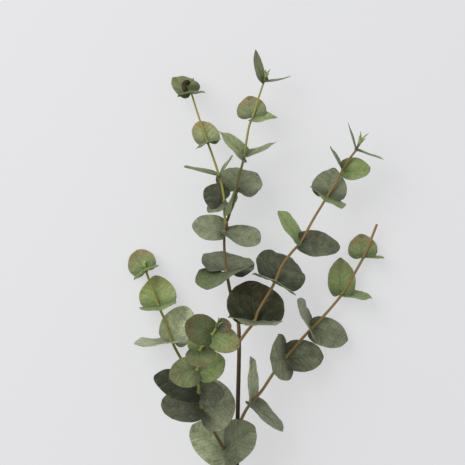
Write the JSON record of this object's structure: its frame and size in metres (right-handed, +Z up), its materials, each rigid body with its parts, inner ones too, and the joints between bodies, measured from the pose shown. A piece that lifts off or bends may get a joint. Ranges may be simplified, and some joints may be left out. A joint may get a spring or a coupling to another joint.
{
  "type": "eucalyptus branch",
  "caption": "Cut eucalyptus branch lying on a surface: a woody stem with slender side shoots, round heart-based leaves in clasping pairs and soft growing tips.",
  "frame": {"origin": "centre of the bounding box in X and Y, on the surface the branch lies on", "axes": "+Z up from the surface, +Y along the branch from its cut end to its tips, +X to the right seen from above with the tips away"},
  "size_m": [0.2492, 0.506, 0.1688],
  "materials": {
    "bark": "dull dark brown bark with fine ridges",
    "tan_bark": "smooth satin tan-brown young bark",
    "olive_stem": "smooth satin yellow-olive green wood, browner towards its foot",
    "grey_leaf": "matt grey-green leaf with a waxy bloom and fine veins",
    "green_leaf": "matt young green leaf with a red-brown flush at its rim",
    "bud": "soft satin yellow-green growing tip"
  },
  "bodies": {
    "root": {"main_stem": "bark", "main_leaves_1": "grey_leaf", "main_leaves_2": "grey_leaf", "upper_left_stem": "olive_stem", "upper_left_leaves_1": "green_leaf", "upper_left_leaves_2": "green_leaf", "upper_left_leaves_3": "green_leaf", "upper_left_leaves_4": "green_leaf", "upper_left_bud": "bud", "top_stem": "olive_stem", "top_leaves_1": "green_leaf", "top_leaves_2": "green_leaf", "top_leaves_3": "green_leaf", "top_leaves_4": "green_leaf", "top_bud": "bud", "right_stem": "tan_bark", "right_leaves_1": "grey_leaf", "right_leaves_2": "grey_leaf", "right_leaves_3": "grey_leaf", "right_leaves_4": "grey_leaf", "right_leaves_5": "grey_leaf", "right_leaves_6": "grey_leaf", "right_bud": "bud", "lower_right_stem": "tan_bark", "lower_right_leaves_1": "grey_leaf", "lower_right_leaves_2": "grey_leaf", "lower_right_leaves_3": "grey_leaf", "lower_right_leaves_4": "grey_leaf", "lower_right_leaves_5": "grey_leaf", "left_stem": "olive_stem", "left_leaves_1": "green_leaf", "left_leaves_2": "green_leaf", "left_leaves_3": "green_leaf", "left_bud": "bud", "front_stem": "olive_stem", "front_leaves_1": "green_leaf", "front_leaves_2": "green_leaf", "front_leaves_3": "green_leaf", "front_leaves_4": "green_leaf", "front_leaves_5": "green_leaf", "front_leaves_6": "green_leaf", "front_bud": "bud"}
  },
  "joints": []
}
